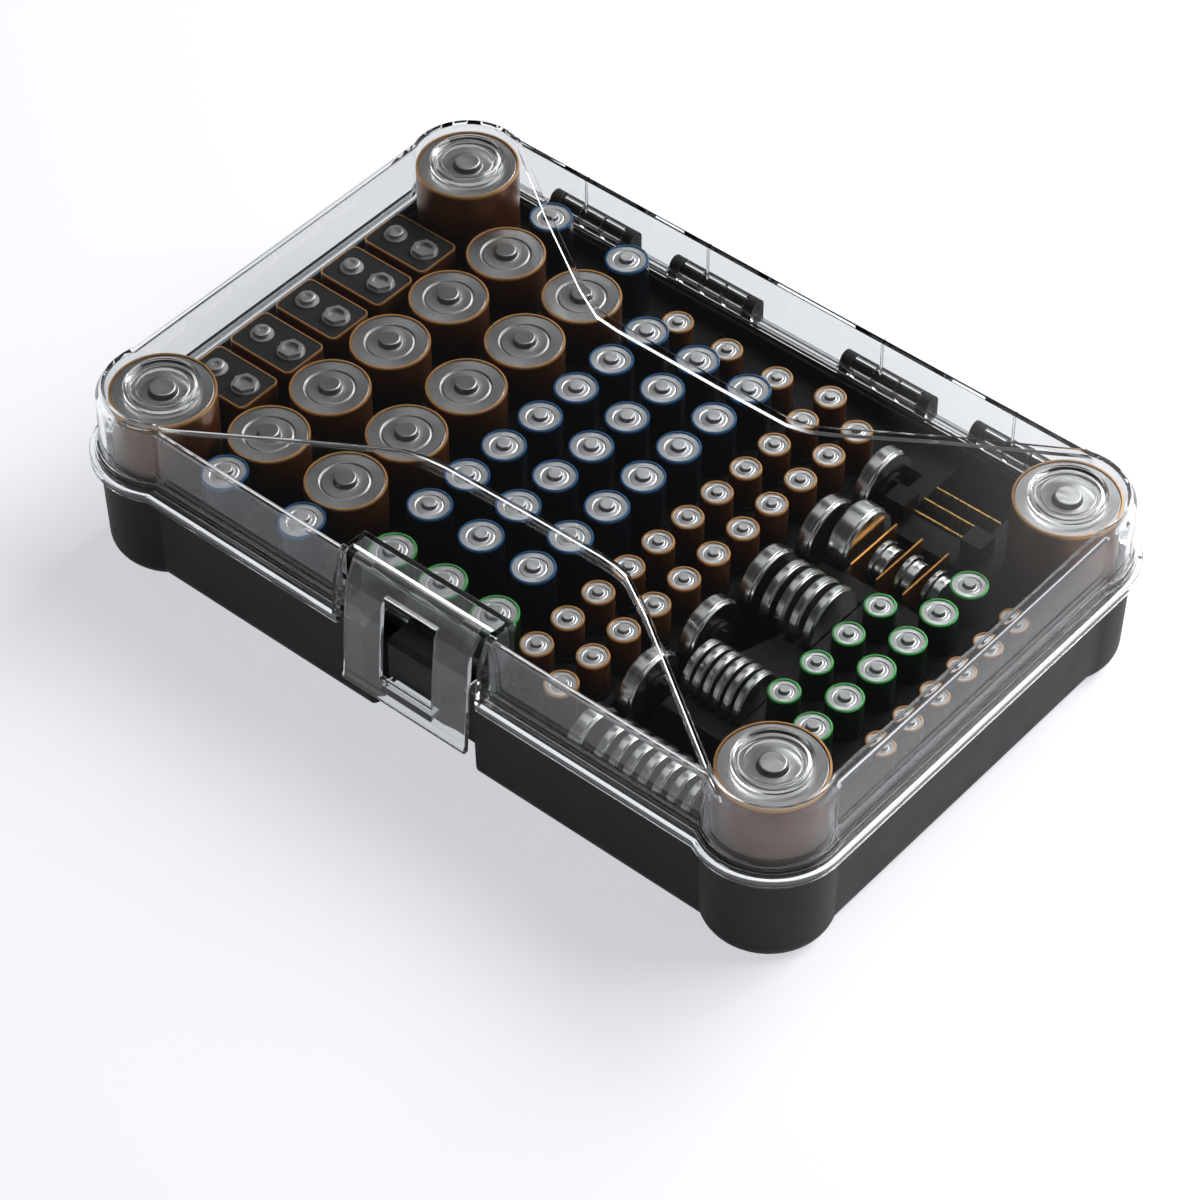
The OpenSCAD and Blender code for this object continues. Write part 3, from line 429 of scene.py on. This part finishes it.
def finish_faces(piece, material, belongs):
    """Gives the faces of a piece that belong to a group a finish of their own."""
    piece.data.materials.append(material)
    index = len(piece.data.materials) - 1
    for face in piece.data.polygons:
        if belongs(face):
            face.material_index = index


def highlighted_panel_steps():
    """A test for the tilted faces round the raised middle panel of the lid, which get a painted highlight.
    """
    low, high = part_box("lid")

    def belongs(face):
        at = face.center
        across = abs(at.x) < high.x - STEP_MARGIN
        along = low.y + STEP_MARGIN < at.y < high.y - STEP_MARGIN
        return across and along and at.z > high.z - STEP_HEIGHT and abs(face.normal.z) < STEP_NORMAL

    return belongs


def latch_housing():
    """A test for the walls of the lid in front of and behind the latch."""
    low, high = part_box("latch")

    def belongs(face):
        at = face.center
        near = low.x < at.x < high.x and abs(at.y - high.y) < HOUSING_DEPTH
        return near and abs(face.normal.y) > HOUSING_NORMAL

    return belongs


def paint_shade_on_can_walls(piece, material):
    """Paints shade on the upright walls of the nubs and rings on the can tops, as a dark copy of the steel.
    """
    mesh = piece.data
    uv = mesh.uv_layers["turning"].data

    def radius(face):
        corners = [(uv[i].uv[1], mesh.vertices[mesh.loops[i].vertex_index].co.z) for i in face.loop_indices]
        return max(across - height for across, height in corners)

    side = SHADED_TOP_SHARE * max(radius(face) for face in mesh.polygons)
    finish_faces(piece, material, lambda face: abs(face.normal.z) < SHADED_WALL_NORMAL and radius(face) < side)


# Case, lid and latch

LID_TINT = (0.86, 0.868, 0.873)
BASE_GREY = moulded_plastic("base_grey", (0.058, 0.062, 0.062), rough=0.42, grain_depth=0.05)
TRAY_BLACK = moulded_plastic("tray_black", (0.008, 0.0083, 0.0088), rough=0.45, grain_depth=0.05)
PIN_BLACK = moulded_plastic("pin_black", (0.02, 0.02, 0.021), rough=0.35, grain_depth=0.02)
LID_CLEAR = smoke_clear("lid_clear", LID_TINT, rough=0.0)
# Painted highlight: a less clear copy of the lid plastic that makes the step faces read lighter
STEP_HIGHLIGHT_CLEAR = smoke_clear("step_clear_painted_highlight", LID_TINT, rough=0.1, clearness=STEP_HIGHLIGHT_CLEARNESS)
HOUSING_CLEAR = smoke_clear("housing_clear", (0.7, 0.708, 0.713), rough=0.05, clearness=0.95)
LATCH_CLEAR = smoke_clear("latch_clear", (0.84, 0.85, 0.855), rough=0.0, clearness=0.87)

base = moulded_copy("base_shell", "base_tub", edge=0.35)
dress(base, "base_shell", "case", BASE_GREY)
tray = moulded_copy("battery_tray", "insert_tray", edge=0.2, segments=1)
dress(tray, "battery_tray", "case", TRAY_BLACK)
cover = clear_copy("lid", "clear_lid", edge=0.18)
dress(cover, "lid", "lid", LID_CLEAR)
# The step faces get the painted highlight
finish_faces(cover, STEP_HIGHLIGHT_CLEAR, highlighted_panel_steps())
finish_faces(cover, HOUSING_CLEAR, latch_housing())
plate = clear_copy("latch", "clear_latch", edge=0.15)
dress(plate, "latch", "latch", LATCH_CLEAR)
coat("hinge_pins", PIN_BLACK)
coat("latch_pins", PIN_BLACK)


# Cells

# Steels, with their rings per metre and the depth of a ring in millimetres
CAN_RINGS = {"ring_scale": 1300, "ring_depth": 0.006}
COIN_RINGS = {"ring_scale": 900, "ring_depth": 0.001}
CAN_STEEL = turned_metal("can_steel", (0.9, 0.9, 0.91), 0.34, **CAN_RINGS, brushed=0.5, metallic=0.7)
CAN_GREY = turned_metal("can_grey", (0.5, 0.5, 0.5), 0.34, **CAN_RINGS, brushed=0.5)
# Painted shade: a dark copy of the can steel for the upright walls on the can tops
CAN_WALL_SHADE = turned_metal("can_wall_painted_shade", (0.16, 0.16, 0.165), 0.3, **CAN_RINGS)
COIN_STEEL = turned_metal("coin_steel", (0.66, 0.67, 0.66), 0.2, **COIN_RINGS)
SNAP_STEEL = turned_metal("snap_steel", (0.5, 0.5, 0.5), 0.4, **COIN_RINGS, metallic=0.7)
BLOCK_TOP = moulded_plastic("block_top", (0.05, 0.05, 0.052), rough=0.4, grain_depth=0.05)
COPPER_SHEET = satin_sheet("copper_sheet", (0.75, 0.36, 0.1), rough=0.3)
BRASS_SHEET = satin_sheet("brass_sheet", (0.8, 0.5, 0.16), rough=0.25)

# Films: painted light at the rim, the film's colour over the body, painted shade at the foot; the large
# cells stand free and keep their body colour down to the foot, without the painted shade
COPPER = ((0.95, 0.5, 0.19), (0.17, 0.055, 0.014), (0.004, 0.002, 0.001))
COPPER_UNSHADED_FOOT = (COPPER[0], COPPER[1], COPPER[1])
BLUE = ((0.05, 0.2, 0.45), (0.003, 0.008, 0.02), (0.0008, 0.0012, 0.002))
GREEN = ((0.16, 0.75, 0.2), (0.003, 0.05, 0.012), (0.0008, 0.006, 0.002))

CELLS = {
    "d_cell": (CAN_GREY, COPPER_UNSHADED_FOOT),
    "c_cell": (CAN_GREY, COPPER),
    "aa_cell": (CAN_STEEL, BLUE),
    "aa_green": (CAN_STEEL, GREEN),
    "aaa_cell": (CAN_STEEL, COPPER),
    "short_green": (CAN_STEEL, GREEN),
    "small_green": (CAN_STEEL, GREEN),
    "small_copper": (CAN_STEEL, COPPER),
}
for family, (steel, film) in CELLS.items():
    cans, jackets = family + "_cans", family + "_jackets"
    piece = metal_copy(cans, family + "_metal", edge=0.1, smooth=CAN_SMOOTH)
    turning_map(piece, 2)
    dress(piece, cans, "case", steel)
    # The upright walls on the can tops get painted shade
    paint_shade_on_can_walls(piece, CAN_WALL_SHADE)
    coat(jackets, printed_film_with_painted_shade_and_light(family + "_film", jackets, *film))

COINS = ("thick_coin_cells", "extra_thick_coin_cell", "thin_coin_cells", "small_coin_cells", "button_cells")
for node in COINS:
    piece = metal_copy(node, node + "_metal", edge=0.1, smooth=COIN_SMOOTH)
    turning_map(piece, 0)
    dress(piece, node, "case", COIN_STEEL)

terminals = metal_copy("block_terminals", "block_snaps", edge=0.12, smooth=SNAP_SMOOTH)
turning_map(terminals, 2)
dress(terminals, "block_terminals", "case", SNAP_STEEL)
coat("block_jackets", printed_film_with_painted_shade_and_light("block_film", "block_jackets", *COPPER))
coat("block_tops", BLOCK_TOP)
coat("divider_plates", COPPER_SHEET)
coat("brass_strips", BRASS_SHEET)


# Stage, light and camera

def floor():
    """White floor that keeps the shadow and shows white in the clear plastic and the metal."""
    bpy.ops.object.select_all(action="DESELECT")
    bpy.ops.mesh.primitive_plane_add(size=FLOOR_SIDE, location=(0, 0, 0))
    ground = bpy.context.object
    ground.name = "floor"
    material, tree = new_material("floor_white")
    ray = add(tree, "ShaderNodeLightPath").outputs
    seen = compute(tree, "MAXIMUM", ray["Is Camera Ray"], ray["Is Transmission Ray"])
    shown = compute(tree, "MULTIPLY_ADD", ray["Is Glossy Ray"], FLOOR_MIRRORED, seen)
    strength = compute(tree, "MULTIPLY", shown, FLOOR_GLOW)
    lit = add(tree, "ShaderNodeBsdfDiffuse", {"Color": (*FLOOR_WHITE, 1)})
    glow = add(tree, "ShaderNodeEmission", {"Color": (*FLOOR_GLOW_COLOUR, 1), "Strength": strength})
    finish_with(tree, add(tree, "ShaderNodeAddShader", {0: lit.outputs[0], 1: glow.outputs[0]}))
    ground.data.materials.append(material)


def lamp(name, at, target, size, power):
    """A soft rectangular lamp that looks at a target."""
    data = bpy.data.lights.new(name, "AREA")
    data.shape = "RECTANGLE"
    data.size, data.size_y = size
    data.energy = power
    light = bpy.data.objects.new(name, data)
    light.location = at
    light.rotation_mode = "QUATERNION"
    light.rotation_quaternion = (Vector(target) - Vector(at)).to_track_quat("-Z", "Y")
    bpy.context.scene.collection.objects.link(light)


def world():
    """Pale walls under a dark ceiling, which the top of the lid mirrors, and cards for edges and caps."""
    settings = bpy.data.worlds.new("studio")
    bpy.context.scene.world = settings
    settings.use_nodes = True
    settings.cycles.sampling_method = "NONE"
    tree = settings.node_tree
    tree.nodes.clear()
    coords = add(tree, "ShaderNodeTexCoord").outputs["Generated"]
    matt = add(tree, "ShaderNodeLightPath").outputs["Is Diffuse Ray"]

    def toward(direction, low, high, edge, middle):
        sockets = {0: coords, 1: Vector(direction).normalized()}
        side = add(tree, "ShaderNodeVectorMath", sockets, operation="DOT_PRODUCT")
        return spread(tree, side.outputs["Value"], low, high, edge, middle)

    studio = toward((0, 0, 1), SURROUNDINGS, CEILING, WALL_TOP, CEILING_EDGE)
    tone = compute(tree, "MULTIPLY", studio, spread(tree, matt, 1, SOFT_SHARE, 0, 1))
    for direction, edge, middle, brightness in (REAR_CARD, TOP_CARD):
        card = toward(direction, 0, brightness, edge, middle)
        tone = compute(tree, "ADD", tone, compute(tree, "MULTIPLY", card, spread(tree, matt, 1, 0, 0, 1)))
    sky = add(tree, "ShaderNodeBackground", {"Strength": tone})
    add(tree, "ShaderNodeOutputWorld", {"Surface": sky.outputs[0]})


def camera():
    """The photograph's camera."""
    data = bpy.data.cameras.new("photo_camera")
    data.lens = CAMERA_LENS
    data.sensor_width = FILM_WIDTH
    data.clip_start = 0.01
    data.clip_end = 50
    view = bpy.data.objects.new("photo_camera", data)
    turn, tilt = math.radians(CAMERA_AZIMUTH), math.radians(CAMERA_ELEVATION)
    back = Vector((math.sin(turn) * math.cos(tilt), -math.cos(turn) * math.cos(tilt), math.sin(tilt)))
    view.location = CAMERA_AT
    view.rotation_mode = "QUATERNION"
    view.rotation_quaternion = (-back).to_track_quat("-Z", "Y")
    bpy.context.scene.collection.objects.link(view)
    bpy.context.scene.camera = view


floor()
world()
lamp("key", *KEY_LAMP)
lamp("rear", *REAR_LAMP)
camera()
bpy.context.scene.view_settings.view_transform = "Standard"
